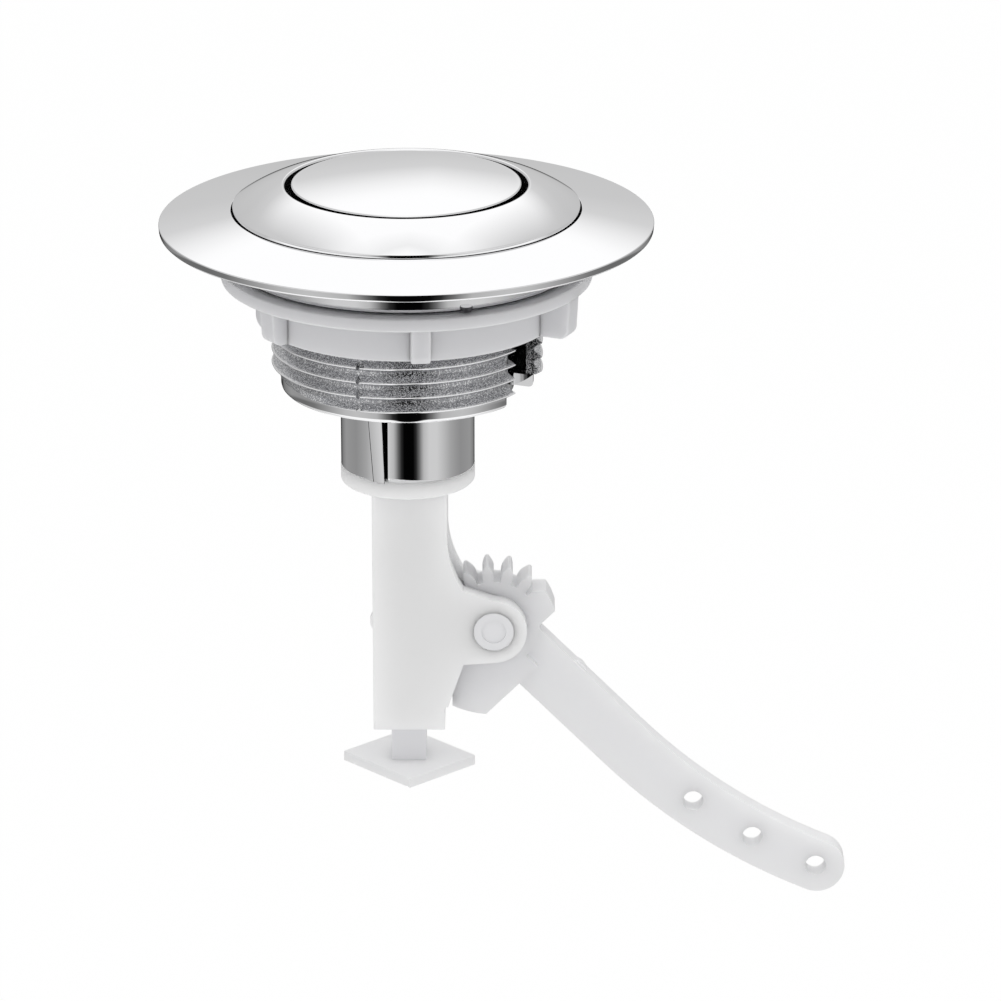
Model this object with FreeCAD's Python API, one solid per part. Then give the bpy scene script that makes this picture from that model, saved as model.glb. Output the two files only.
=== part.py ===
import FreeCAD, Part
import math
import os
from FreeCAD import Vector

# Push button cistern actuator, in millimetres.
# The origin is on the axis of the threaded barrel, in the plane where the rim lies on the cistern lid.
# +Z is up, +X points to the lever, and the lever swings in the XZ plane.

# Rim plate: a shallow cone with a stepped edge and a hub that rests on the collar
rim_r = 37.5
rim_lip = 1.1
rim_step = 1.3
rim_set_back = 0.5
rim_foot = 2.2
rim_edge_round = 0.3
plate_wall = 1.5
plate_rise = 2.0
plate_margin = 1.4
hub_ring_wall = 1.65

# Domed bezel between the rim plate and the button
bezel_r = 26.3
bezel_gap = 0.15
bezel_lip = 1.2
bezel_edge = 0.3
bezel_rise = 3.8
bezel_bulge = 0.75
bezel_wall = 1.5
bezel_crest = 0.9
hole_r = 18.35
bezel_skirt_wall = 1.2
bezel_hook_gap = 0.1

# Barrel: collar, web, threaded tube, floor and one side window
collar_r = 26.2
collar_depth = 4.2
collar_wall = 1.7
nub_r = 0.95
nub_height = 0.7
nub_turn = -69.5
web_wall = 1.8
thread_r = 20.7
thread_root_r = 19.45
thread_pitch = 2.25
crest_flat = 0.2
root_flat = 0.75
band_r = 19.3
band_height = 2.1
band_round = 0.6
bore_r = 18.2
barrel_bottom = 23.7
floor_wall = 1.9
window_turn = -22.0
window_width = 10.8
window_head = 6.2
window_floor_r = 16.3
parting_turn = -110.0
parting_width = 0.5
parting_depth = 0.8

# Split sleeve that hangs from the barrel floor
sleeve_r = 10.25
sleeve_wall = 1.1
sleeve_bottom = 36.4
sleeve_flange_r = 14.0
sleeve_flange_wall = 1.0
sleeve_fit = 0.05
slit_turn = -108.6
slit_width = 0.7
slit_lap = 9.0
slit_lap_height = 0.2
snap_depth = 0.4
snap_height = 1.4
snap_drop = 8.5
snap_fit = 0.05

# Spring seat and return spring
seat_wall = 1.2
seat_lip = 1.0
seat_lip_wall = 0.8
seat_lip_gap = 0.2
spring_r = 11.5
spring_wire = 1.2
spring_turns = 7
spring_arcs = 4
spring_end_gap = 0.05

# Button cap, carrier, screw, stem and cross pin
cap_gap = 0.94
cap_dome = 0.9
cap_flat_r = 1.0
cap_edge_round = 0.5
cap_wall = 1.4
cap_skirt_wall = 1.2
cap_depth = 4.6
cap_fit = 0.1
carrier_wall = 1.7
guide_gap = 0.3
guide_wall = 1.4
guide_length = 14.0
hub_wall = 2.0
hub_length = 9.0
stem_r = 3.0
stem_fit = 0.05
screw_r = 1.25
screw_head_r = 2.6
screw_head = 0.8
screw_length = 11.0
screw_slot = 0.6
cross_pin_r = 0.7
cross_pin_rise = 3.0
spigot_r = 1.8
spigot_length = 5.5

# Travel, gear and rack
button_travel = 7.5
tooth_module = 1.0
gear_teeth = 17
pressure_angle = 20.0
tooth_reach = 1.25
tooth_share = 0.56
tooth_root = 1.4
rack_reach = 0.9
tooth_backlash = 0.14
teeth_before = 7
first_tooth = 54.1
flank_points = 5
gear_width = 5.5
slide_gap = 0.25
stop_gap = 0.3
rack_back = 2.75
rod_width = 5.4
rack_margin = 4.0

# Pivot of the lever and its headed pin
pivot_x = 13.2
pivot_drop = 62.35
pin_r = 1.6
pin_head_r = 2.05
pin_head = 0.9
pin_running = 0.06
pin_fit = 0.03
pin_tail = 0.8
retainer_r = 3.0
retainer_wall = 0.5
retainer_slots = 4
retainer_slot_width = 0.3

# Housing: two shells of a square column with ears, and the collar that holds them
column_half_depth = 5.75
column_left = 5.5
column_right = 6.1
column_bottom = 78.6
column_step = 0.5
column_block = 3.5
column_round = 0.4
latch_drop = 61.45
latch_height = 2.4
latch_rise = 0.45
latch_near = -3.6
latch_far = -2.0
pocket_head = 13.0
ceiling_gap = 0.3
ear_head = 48.0
ear_waist_x = 8.5
ear_waist_drop = 55.6
ear_hip_drop = 67.8
ear_tail_x = 6.75
ear_tail_drop = 72.9
ear_tail_end = 74.9
boss_r = 5.1
sink_r = 3.1
sink_depth = 1.2
spigot_shell_r = 5.5
spigot_shell_length = 10.0
stem_bore_gap = 0.2
peg_r = 0.7
peg_length = 1.8
peg_fit = 0.05
collar_flange_r = 10.3
collar_flange = 2.7
collar_flange_round = 0.4
plug_length = 10.3
plug_fit = 0.05

# Lever: gear sector, two stop blocks and a curved arm with three holes for a chain
lever_turn = -45.3
arm_half_width = 4.35
arm_thickness = 3.2
arm_straight = 28.9
arm_bend_r = 93.5
hole_count = 3
hole_first = 14.5
hole_pitch = 11.2
hole_r_chain = 1.6
arm_end_r = 4.6
gate_station = 14.85
gate_length = 2.9
gate_rise = 0.4
gate_width = 1.6
upper_stop_station = 5.0
upper_stop_turn = 34.5
upper_stop_foot_r = 8.1
upper_stop_foot_turn = 43.0
lower_stop_station = 9.7
lower_stop_r = 14.9
lower_stop_gap = 0.65

# Locknut
nut_gap = 0.2
nut_flange_r = 28.2
nut_flange = 2.0
nut_skirt_r = 23.0
nut_height = 8.25
nut_rib_width = 2.8
nut_rib_rise = 0.9
nut_rib_taper = 0.7
nut_rib_round = 1.5
nut_ribs = 6
nut_rib_turn = -83.5
thread_clearance = 0.09

# Foot under the push rod, set cornerwise
foot_length = 15.5
foot_width = 13.9
foot_wall = 1.6
foot_turn = 43.25
foot_gap = 6.3
foot_round = 0.25
stud_r = 1.5
stud_length = 4.0
stud_fit = 0.05

# Heights and radii worked out from the sizes above; the share places the middle of a quarter round
rim_top = rim_step + rim_lip
plate_top = rim_top + plate_rise
margin_top = plate_top - bezel_lip
collar_top = margin_top - plate_margin
bezel_top = plate_top + bezel_rise
web_top = web_wall - collar_depth
floor_top = floor_wall - barrel_bottom
cap_r = hole_r - cap_gap
cap_bottom = bezel_top - cap_depth
cap_bore_r = cap_r - cap_skirt_wall
carrier_top = bezel_top - cap_wall - cap_fit
carrier_under = carrier_top - carrier_wall
guide_r = bore_r - guide_gap
guide_bottom = cap_bottom - guide_length
flange_top = floor_top + sleeve_flange_wall
seat_top = flange_top + seat_wall
sleeve_bore_r = sleeve_r - sleeve_wall
snap_z = floor_top - snap_drop
pitch_r = tooth_module * gear_teeth / 2
tip_r = pitch_r + tooth_reach * tooth_module
root_r = pitch_r - tooth_root * tooth_module
base_r = pitch_r * math.cos(math.radians(pressure_angle))
tooth_step = 360.0 / gear_teeth
rack_pitch = math.pi * tooth_module
rack_line = pivot_x - pitch_r
rack_root_x = rack_line - tooth_root * tooth_module
rack_tip_x = rack_line + rack_reach * tooth_module
pivot_z = -pivot_drop
half_gear = gear_width / 2
half_channel = half_gear + slide_gap
block_top = column_block - column_bottom
shoulder_z = block_top + button_travel
pocket_top = pivot_z + pocket_head
ceiling_z = pocket_top + rack_margin + ceiling_gap
rack_top = ceiling_z - stop_gap
stem_bore_r = stem_r + stem_bore_gap
collar_bottom = -sleeve_bottom - collar_flange
nut_top = -collar_depth - nut_gap
foot_top = -column_bottom - foot_gap


quarter_share = 1 - math.sqrt(0.5)


def flat(point):
    # A point of a turned section, radius and height
    return Vector(point[0], 0, point[1])


def face_of(steps, lay=flat):
    # Joins the steps by lines, and by an arc where a step is a pair of points, through and end
    edges = []
    start = steps[0]
    for step in steps[1:] + steps[:1]:
        if isinstance(step[0], tuple):
            through, end = step
            edges.append(Part.Arc(lay(start), lay(through), lay(end)).toShape())
        else:
            end = step
            edges.append(Part.LineSegment(lay(start), lay(end)).toShape())
        start = end
    return Part.Face(Part.Wire(edges))


def turned(steps, turn=360.0, start=0.0):
    # A section turned about the barrel axis, anticlockwise from the start angle
    face = face_of(steps)
    if start:
        face.rotate(Vector(0, 0, 0), Vector(0, 0, 1), start)
    return face.revolve(Vector(0, 0, 0), Vector(0, 0, 1), turn)


def ring(inner, outer, low, high, turn=360.0, start=0.0):
    # A plain ring or a part of one
    return turned([(inner, low), (outer, low), (outer, high), (inner, high)], turn, start)


def slab(steps, near, far):
    # A side view outline with its thickness along Y
    face = face_of(steps, lambda point: Vector(point[0], near, point[1]))
    return face.extrude(Vector(0, far - near, 0))


def post(radius, low, high, x=0.0, y=0.0):
    # An upright cylinder
    return Part.makeCylinder(radius, high - low, Vector(x, y, low))


def axle(radius, near, far, x, z):
    # A cylinder that lies along Y
    return Part.makeCylinder(radius, far - near, Vector(x, near, z), Vector(0, 1, 0))


def block(left, right, near, far, low, high):
    # A box between six planes
    return Part.makeBox(right - left, far - near, high - low, Vector(left, near, low))


def joined(shapes):
    # One solid from several that touch or cross
    first = shapes[0]
    return first.multiFuse(shapes[1:]).removeSplitter()


def fillet_where(shape, radius, wanted):
    # Rounds the edges that the test picks
    return shape.makeFillet(radius, [edge for edge in shape.Edges if wanted(edge)])


def polar(radius, angle, x=0.0, z=0.0):
    # A point at a radius and an angle in degrees about (x, z)
    turn = math.radians(angle)
    return (x + radius * math.cos(turn), z + radius * math.sin(turn))


def level(edge, height):
    # True where both ends of an edge lie at one height
    box = edge.BoundBox
    return abs(box.ZMin - height) < 0.001 and abs(box.ZMax - height) < 0.001


def upright(edge, length):
    # True for an edge that stands along Z for the whole length
    box = edge.BoundBox
    return box.ZLength > length - 0.001 and box.XLength < 0.001 and box.YLength < 0.001


def rim_plate():
    # The cone carries the bezel on its flat inner margin and lies on the lid with its rim
    slope = plate_rise / (rim_r - bezel_r)
    seat_r = bezel_r + bezel_gap
    margin_r = collar_r - collar_wall + bezel_hook_gap
    hub_out = collar_r + hub_ring_wall
    foot_r = rim_r - rim_set_back
    inner_foot = foot_r - rim_foot
    seat_z = plate_top - slope * bezel_gap

    def under(radius):
        return rim_top + slope * (rim_r - radius) - plate_wall

    section = [(foot_r, 0), (foot_r, rim_step), (rim_r, rim_step),
               (rim_r, rim_top - rim_edge_round),
               (rim_r - rim_edge_round, rim_top + slope * rim_edge_round),
               (seat_r, seat_z), (seat_r, margin_top), (margin_r, margin_top),
               (margin_r, collar_top), (hub_out, collar_top), (hub_out, under(hub_out)),
               (inner_foot, under(inner_foot)), (inner_foot, 0)]
    return turned(section)


def bezel():
    # A domed shell with an outer hook skirt in the collar and an inner skirt round the button
    lip_z = margin_top
    mid_r = (bezel_r + hole_r) / 2
    mid_z = (plate_top + bezel_top) / 2 + bezel_bulge
    crest_r = hole_r + bezel_crest
    hook_out = collar_r - collar_wall - bezel_hook_gap
    hook_in = hook_out - bezel_skirt_wall
    skirt_out = hole_r + bezel_skirt_wall
    hook_end = (web_top + collar_top) / 2
    start_z = plate_top + bezel_edge
    bend = bezel_crest * quarter_share
    section = [(bezel_r, lip_z), (bezel_r, start_z),
               ((mid_r, mid_z), (crest_r, bezel_top)),
               ((hole_r + bend, bezel_top - bend), (hole_r, bezel_top - bezel_crest)),
               (hole_r, web_top), (skirt_out, web_top), (skirt_out, bezel_top - 2 * bezel_wall),
               ((mid_r, mid_z - bezel_wall), (hook_in, plate_top)),
               (hook_in, hook_end), (hook_out, hook_end), (hook_out, lip_z)]
    return turned(section)


def thread_steps(shift, low, high):
    # The saw of rings between two heights, widened by a shift; rings stand in for the helix
    steps = []
    rise = (thread_pitch - crest_flat - root_flat) / 2
    count = int((high - low) / thread_pitch)
    for index in range(count):
        foot = low + index * thread_pitch + root_flat
        steps.append((thread_root_r + shift, foot))
        steps.append((thread_r + shift, foot + rise))
        steps.append((thread_r + shift, foot + rise + crest_flat))
        steps.append((thread_root_r + shift, foot + rise + crest_flat + rise))
    return steps


def threaded_barrel():
    # A hat-shaped moulding: collar and web above, threaded tube and floor below
    bottom = -barrel_bottom
    thread_low = bottom + band_height
    hole = sleeve_r + sleeve_fit
    section = [(hole, bottom), (band_r - band_round, bottom), (band_r, bottom + band_round),
               (band_r, thread_low), (thread_root_r, thread_low)]
    section += thread_steps(0, thread_low, -collar_depth)
    section += [(thread_root_r, -collar_depth), (collar_r, -collar_depth), (collar_r, collar_top),
                (collar_r - collar_wall, collar_top), (collar_r - collar_wall, web_top),
                (bore_r, web_top), (bore_r, floor_top), (hole, floor_top)]
    body = turned(section)
    half = window_width / 2
    window = block(0, collar_r, -half, half, bottom - floor_wall, -window_head)
    window = window.cut(post(window_floor_r, bottom - floor_wall, -window_head))
    window.rotate(Vector(0, 0, 0), Vector(0, 0, 1), window_turn)
    notch = block(thread_r - parting_depth, collar_r, -parting_width / 2, parting_width / 2,
                  thread_low, -collar_depth - nut_gap)
    notch.rotate(Vector(0, 0, 0), Vector(0, 0, 1), parting_turn)
    nub_x, nub_y = polar(collar_r, nub_turn)
    nub = post(nub_r, -collar_depth, nub_height - collar_depth, nub_x, nub_y)
    nub = nub.cut(post(collar_r - collar_wall / 2, -collar_depth, nub_height - collar_depth))
    return joined([body.cut(window).cut(notch), nub])


def split_sleeve():
    # A flanged tube with a slit, a thin lap beside the slit and a groove for the housing's bead
    inner = sleeve_bore_r
    low = -sleeve_bottom
    half = snap_height / 2
    section = [(inner, low), (sleeve_r, low), (sleeve_r, floor_top), (sleeve_flange_r, floor_top),
               (sleeve_flange_r, flange_top), (inner, flange_top), (inner, snap_z + half),
               (inner + snap_depth + snap_fit, snap_z), (inner, snap_z - half)]
    body = turned(section)
    lap = ring(sleeve_r - slit_lap_height, sleeve_r + slit_lap_height, low, -barrel_bottom - sleeve_fit,
               slit_lap, slit_turn - slit_lap)
    slit = block(inner - sleeve_wall, sleeve_flange_r - sleeve_wall, -slit_width / 2, slit_width / 2,
                 low - sleeve_wall, -barrel_bottom)
    slit.rotate(Vector(0, 0, 0), Vector(0, 0, 1), slit_turn)
    return joined([body, lap]).cut(slit)


def spring_seat():
    # A washer with a lip that keeps the lowest turn of the spring in place
    inner = sleeve_bore_r + seat_lip_wall
    lip_out = spring_r - spring_wire / 2 - seat_lip_gap
    lip_in = lip_out - seat_lip_wall
    section = [(inner, flange_top), (sleeve_flange_r, flange_top), (sleeve_flange_r, seat_top),
               (lip_out, seat_top), (lip_out, seat_top + seat_lip), (lip_in, seat_top + seat_lip),
               (inner, seat_top)]
    return turned(section)


def return_spring():
    # A compression spring of round wire between the seat and the carrier; short arcs follow its helix
    low = seat_top + spring_wire / 2 + spring_end_gap
    high = carrier_under - spring_wire / 2 - spring_end_gap
    lead = (high - low) / spring_turns

    def on_helix(turn):
        place_x, place_y = polar(spring_r, 360 * turn)
        return Vector(place_x, place_y, low + lead * turn)

    edges = []
    for index in range(spring_turns * spring_arcs):
        first = index / spring_arcs
        last = (index + 1) / spring_arcs
        middle = (first + last) / 2
        edges.append(Part.Arc(on_helix(first), on_helix(middle), on_helix(last)).toShape())
    along = Vector(0, 1, lead / (2 * math.pi * spring_r))
    wire = Part.Wire(Part.makeCircle(spring_wire / 2, on_helix(0), along))
    return Part.Wire(edges).makePipeShell([wire], True, True)


def dome_height(radius, edge_r):
    # How far a shallow dome stands above its edge at a radius
    ball_r = (edge_r * edge_r + cap_dome * cap_dome) / (2 * cap_dome)
    return math.sqrt(ball_r * ball_r - radius * radius) - ball_r + cap_dome


def button_cap():
    # A domed cap with a short skirt; a small flat at the middle closes the dome
    edge_r = cap_r - cap_edge_round
    under = bezel_top - cap_wall
    half = cap_r / 2
    peak = bezel_top + dome_height(cap_flat_r, edge_r)
    inner_peak = under + dome_height(cap_flat_r, cap_bore_r)
    bend = cap_edge_round * quarter_share
    section = [(0, peak), (cap_flat_r, peak),
               ((half, bezel_top + dome_height(half, edge_r)), (edge_r, bezel_top)),
               ((cap_r - bend, bezel_top - bend), (cap_r, bezel_top - cap_edge_round)),
               (cap_r, cap_bottom), (cap_bore_r, cap_bottom), (cap_bore_r, under),
               ((half, under + dome_height(half, cap_bore_r)), (cap_flat_r, inner_peak)),
               (0, inner_peak)]
    return turned(section)


def button_carrier():
    # A stepped cup: its top sits in the cap, its skirt slides in the barrel, its hub takes the stem
    top_r = cap_bore_r - cap_fit
    neck_in = top_r - guide_wall
    guide_in = guide_r - guide_wall
    step_low = cap_bottom - guide_wall
    hub_in = stem_r + stem_fit
    hub_out = hub_in + hub_wall
    hub_low = carrier_under - hub_length
    section = [(screw_r + stem_fit, carrier_under), (hub_in, carrier_under), (hub_in, hub_low),
               (hub_out, hub_low), (hub_out, carrier_under), (neck_in, carrier_under),
               (neck_in, step_low), (guide_in, step_low), (guide_in, guide_bottom),
               (guide_r, guide_bottom), (guide_r, cap_bottom), (top_r, cap_bottom),
               (top_r, carrier_top), (screw_r + stem_fit, carrier_top)]
    return turned(section)


def carrier_screw():
    # A pan-head screw with a slot
    head_top = carrier_top + screw_head
    head = post(screw_head_r, carrier_top, head_top)
    head = fillet_where(head, screw_head / 2, lambda edge: level(edge, head_top))
    shank = post(screw_r, carrier_under - screw_length, carrier_top)
    half = screw_slot / 2
    slot = block(-screw_head_r, screw_head_r, -half, half, head_top - screw_slot, head_top)
    return joined([head, shank]).cut(slot)


def plunger_stem():
    # A round stem, bored for the screw at the top and for the rack's spigot at the bottom
    stem = post(stem_r, rack_top, carrier_under)
    screw_hole = post(screw_r + stem_fit, carrier_under - screw_length - screw_r, carrier_under)
    socket = post(spigot_r + stem_fit, rack_top, rack_top + spigot_length + stem_fit)
    pin_hole = axle(cross_pin_r + stem_fit, -stem_r, stem_r, 0, rack_top + cross_pin_rise)
    return stem.cut(screw_hole).cut(socket).cut(pin_hole)


def stem_pin():
    # The cross pin that ties the stem to the rack
    half = stem_r - stem_fit
    return axle(cross_pin_r, -half, half, 0, rack_top + cross_pin_rise)


def rack_tooth(height):
    # One straight-flanked tooth of the rack, centred at a height
    half = rack_pitch * (1 - tooth_share) / 2 - tooth_backlash / 2
    lean = math.tan(math.radians(pressure_angle))
    top = half - lean * rack_reach * tooth_module
    foot = half + lean * tooth_root * tooth_module
    return slab([(rack_root_x - tooth_root, height - foot), (rack_root_x, height - foot),
                 (rack_tip_x, height - top), (rack_tip_x, height + top),
                 (rack_root_x, height + foot), (rack_root_x - tooth_root, height + foot)],
                -half_gear, half_gear)


def rack_bar():
    # Rack, square push rod and top spigot in one moulding
    rod_right = rod_width - rack_back
    bar = block(-rack_back, rack_root_x, -half_gear, half_gear, shoulder_z, rack_top)
    rod = block(-rack_back, rod_right, -half_gear, half_gear, foot_top, shoulder_z)
    spigot = post(spigot_r, rack_top, rack_top + spigot_length)
    mesh_tooth = first_tooth + tooth_step * (teeth_before - 1)
    gap_z = pivot_z - pitch_r * math.radians(mesh_tooth - 180)
    teeth = []
    below = int((gap_z - shoulder_z) / rack_pitch)
    above = int((pocket_top - gap_z) / rack_pitch)
    for index in range(-below, above):
        teeth.append(rack_tooth(gap_z + (index + 0.5) * rack_pitch))
    bar = joined([bar, rod, spigot] + teeth)
    bar = bar.cut(axle(cross_pin_r + stem_fit, -spigot_r, spigot_r, 0, rack_top + cross_pin_rise))
    middle = rod_right / 2 - rack_back / 2
    stud_hole = post(stud_r + stud_fit, foot_top, foot_top + stud_length + stud_fit, middle)
    return bar.cut(stud_hole)


def foot_plate():
    # An oblong plate set cornerwise, with a stud that plugs into the rod
    along = foot_length / 2
    across = foot_width / 2
    plate = block(-across, across, -along, along, foot_top - foot_wall, foot_top)
    plate = fillet_where(plate, foot_round, lambda edge: upright(edge, foot_wall))
    plate.rotate(Vector(0, 0, 0), Vector(0, 0, 1), foot_turn)
    middle = rod_width / 2 - rack_back
    plate.translate(Vector(middle, 0, 0))
    return joined([plate, post(stud_r, foot_top - foot_wall / 2, foot_top + stud_length, middle)])


def ear(near, far):
    # One cheek plate, from the column out to the round boss at the pivot
    edge_x = column_right - column_round * 2
    waist = (ear_waist_x, -ear_waist_drop)
    neck = ((column_right + ear_waist_x) / 2 - column_round, -(ear_head + ear_waist_drop) / 2 - column_round)
    plate = slab([(edge_x, -ear_head), (column_right, -ear_head), (neck, waist),
                  (pivot_x, pivot_z + boss_r), (pivot_x, pivot_z - boss_r),
                  (ear_waist_x, -ear_hip_drop), (ear_tail_x, -ear_tail_drop),
                  (column_right, -ear_tail_end), (edge_x, -ear_tail_end)], near, far)
    return joined([plate, axle(boss_r, near, far, pivot_x, pivot_z)])


def peg_places():
    # Pegs in the back wall, the head block and the foot block of the column
    wall_x = -(column_left + rack_back + slide_gap) / 2
    head_x = (rack_root_x + slide_gap + column_right) / 2
    foot_x = (rod_width - rack_back + slide_gap + column_right - column_step) / 2
    return [(wall_x, pocket_top), (wall_x, block_top + column_block),
            (head_x, (pocket_top + ceiling_z) / 2), (foot_x, block_top - column_block / 2)]


def latch():
    # The rounded end of the snap latch, which stands proud of the column's left wall
    half = latch_height / 2
    wall = -column_left
    return slab([(wall + latch_rise, -latch_drop - half), (wall, -latch_drop - half),
                 ((wall - latch_rise, -latch_drop), (wall, half - latch_drop)),
                 (wall + latch_rise, half - latch_drop)], latch_near, latch_far)


def housing():
    # The whole column with its ears, before it is parted into two shells
    depth = column_half_depth
    body = block(-column_left, column_right, -depth, depth, -column_bottom, collar_bottom)
    body = fillet_where(body, column_round, lambda edge: upright(edge, column_bottom + collar_bottom))
    spigot = post(spigot_shell_r, collar_bottom, collar_bottom + spigot_shell_length)
    body = joined([body, ear(-depth, -half_channel), ear(half_channel, depth), spigot, latch()])
    body = body.cut(block(column_right - column_step, pivot_x, -depth, depth, -column_bottom, -ear_tail_end))
    channel_left = -rack_back - slide_gap
    rack_side = rack_root_x + slide_gap
    body = body.cut(block(channel_left, rack_side, -half_channel, half_channel, block_top, ceiling_z))
    body = body.cut(block(rack_root_x, pivot_x, -half_channel, half_channel, block_top, pocket_top))
    rod_right = rod_width - rack_back + slide_gap
    body = body.cut(block(channel_left, rod_right, -half_channel, half_channel, -column_bottom, block_top))
    body = body.cut(post(stem_bore_r, ceiling_z, collar_bottom + spigot_shell_length))
    body = body.cut(axle(sink_r, -depth, sink_depth - depth, pivot_x, pivot_z))
    body = body.cut(axle(pin_r + pin_fit, -depth, depth, pivot_x, pivot_z))
    return body


def housing_shell(front):
    # One half of the housing; the rear half has the pegs and the front half their holes
    depth = column_half_depth
    near = -depth if front else 0
    half = housing().common(block(-column_left - latch_rise, pivot_x + boss_r, near, near + depth,
                                  -column_bottom, collar_bottom + spigot_shell_length))
    for place_x, place_z in peg_places():
        if front:
            half = half.cut(axle(peg_r + peg_fit, -peg_length - peg_fit, 0, place_x, place_z))
        else:
            half = half.fuse(axle(peg_r, -peg_length, peg_length, place_x, place_z))
    return half.removeSplitter()


def neck_collar():
    # A flanged plug with a snap bead, bored for the spigot of the two shells
    plug_r = sleeve_bore_r - plug_fit
    inner = spigot_shell_r + plug_fit
    low = collar_bottom
    top = -sleeve_bottom
    half = snap_height / 2 - snap_fit
    section = [(inner, low), (collar_flange_r - collar_flange_round, low),
               (collar_flange_r, low + collar_flange_round), (collar_flange_r, top), (plug_r, top),
               (plug_r, snap_z - half), (plug_r + snap_depth, snap_z), (plug_r, snap_z + half),
               (plug_r, top + plug_length), (inner, top + plug_length)]
    return turned(section)


def pivot_pin():
    # A headed pin from the front; its tail stands out behind for the push-on retainer
    head_low = sink_depth - column_half_depth
    tail = column_half_depth + retainer_wall + pin_tail
    head = axle(pin_head_r, head_low - pin_head, head_low, pivot_x, pivot_z)
    shaft = axle(pin_r, head_low, tail, pivot_x, pivot_z)
    return joined([head, shaft])


def pin_retainer():
    # A push-on washer with four relief slots
    near = column_half_depth
    far = near + retainer_wall
    disc = axle(retainer_r, near, far, pivot_x, pivot_z)
    disc = disc.cut(axle(pin_r + pin_fit / 2, near, far, pivot_x, pivot_z))
    half = retainer_slot_width / 2
    for index in range(retainer_slots):
        slot = block(0, (retainer_r + pin_r) / 2, near, far, -half, half)
        slot.rotate(Vector(0, 0, 0), Vector(0, 1, 0), 360 * (index + 0.5) / retainer_slots)
        slot.translate(Vector(pivot_x, 0, pivot_z))
        disc = disc.cut(slot)
    return disc


def involute_flank():
    # Radius and half angle, in radians, at points up one flank of a gear tooth
    half_pitch = math.pi * tooth_share / gear_teeth - tooth_backlash / (2 * pitch_r)
    slant = math.radians(pressure_angle)
    pitch_turn = math.tan(slant) - slant
    shoulder_r = tip_r - tooth_backlash * 2
    flank = []
    for index in range(flank_points):
        radius = base_r + (shoulder_r - base_r) * index / (flank_points - 1)
        roll = math.sqrt(max(radius * radius / (base_r * base_r) - 1, 0))
        flank.append((radius, half_pitch + pitch_turn - (roll - math.atan(roll))))
    return flank


def gear_point(radius, angle):
    # A point of the gear's front face, about the pivot
    place_x, place_z = polar(radius, angle, pivot_x, pivot_z)
    return Vector(place_x, -half_gear, place_z)


def gear_tooth(angle):
    # One involute tooth: a spline flank on each side and an arc at the tip
    flank = involute_flank()
    left = [gear_point(radius, angle + math.degrees(turn)) for radius, turn in flank]
    right = [gear_point(radius, angle - math.degrees(turn)) for radius, turn in reversed(flank)]
    left_curve = Part.BSplineCurve()
    left_curve.interpolate(left)
    right_curve = Part.BSplineCurve()
    right_curve.interpolate(right)
    half_foot = math.degrees(flank[0][1])
    inner_r = root_r - tooth_root / 2
    left_foot = gear_point(inner_r, angle + half_foot)
    right_foot = gear_point(inner_r, angle - half_foot)
    edges = [Part.LineSegment(left_foot, left[0]).toShape(), left_curve.toShape(),
             Part.Arc(left[-1], gear_point(tip_r, angle), right[0]).toShape(), right_curve.toShape(),
             Part.LineSegment(right[-1], right_foot).toShape(),
             Part.LineSegment(right_foot, left_foot).toShape()]
    return Part.Face(Part.Wire(edges)).extrude(Vector(0, gear_width, 0))


def on_arm(station, offset):
    # A point beside the arm's centre line, measured from the pivot and along the line
    line = math.radians(lever_turn)
    ahead = (math.cos(line), math.sin(line))
    side = (-math.sin(line), math.cos(line))
    if station <= arm_straight:
        along = station
        across = offset
    else:
        turn = (station - arm_straight) / arm_bend_r
        along = arm_straight + (arm_bend_r - offset) * math.sin(turn)
        across = arm_bend_r - (arm_bend_r - offset) * math.cos(turn)
    return (pivot_x + ahead[0] * along + side[0] * across, pivot_z + ahead[1] * along + side[1] * across)


def hole_station(index):
    # The distance of a chain hole from the pivot along the centre line
    return arm_straight + hole_first + hole_pitch * index


def lever_arm_blank():
    # The curved arm with its round end
    last = hole_station(hole_count - 1)
    middle = (arm_straight + last) / 2
    half = arm_half_width
    tip = on_arm(last + arm_end_r, 0)
    outline = [on_arm(0, half), on_arm(arm_straight, half),
               (on_arm(middle, half), on_arm(last, half)),
               (tip, on_arm(last, -half)),
               (on_arm(middle, -half), on_arm(arm_straight, -half)), on_arm(0, -half)]
    return slab(outline, -arm_thickness / 2, arm_thickness / 2)


def gate_mark():
    # The low rounded mark that the mould's gate leaves on the arm's upper edge
    first = gate_station - gate_length / 2
    last = gate_station + gate_length / 2
    edge = arm_half_width
    half = gate_width / 2
    return slab([on_arm(first, edge - gate_rise), on_arm(first, edge),
                 (on_arm(gate_station, edge + gate_rise), on_arm(last, edge)),
                 on_arm(last, edge - gate_rise)], -half, half)


def stop_blocks():
    # The solid ends of the gear sector: one above the arm and one below it
    upper_edge = lever_turn + math.degrees(math.acos(upper_stop_station / tip_r))
    upper = slab([(pivot_x, pivot_z), on_arm(upper_stop_station, 0),
                  polar(tip_r, upper_edge, pivot_x, pivot_z),
                  (polar(tip_r, (upper_edge + upper_stop_turn) / 2, pivot_x, pivot_z),
                   polar(tip_r, upper_stop_turn, pivot_x, pivot_z)),
                  polar(upper_stop_foot_r, upper_stop_foot_turn, pivot_x, pivot_z)], -half_gear, half_gear)
    face_x = column_right + lower_stop_gap
    lower_left = -180 + math.degrees(math.acos((pivot_x - face_x) / lower_stop_r))
    lower_right = lever_turn - math.degrees(math.acos(lower_stop_station / lower_stop_r))
    start = polar(lower_stop_r, lower_left, pivot_x, pivot_z)
    lower = slab([(face_x, pivot_z - root_r / 2), start,
                  (polar(lower_stop_r, (lower_left + lower_right) / 2, pivot_x, pivot_z),
                   polar(lower_stop_r, lower_right, pivot_x, pivot_z)),
                  on_arm(lower_stop_station, 0), (pivot_x, pivot_z)], -half_gear, half_gear)
    return [upper, lower]


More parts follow.
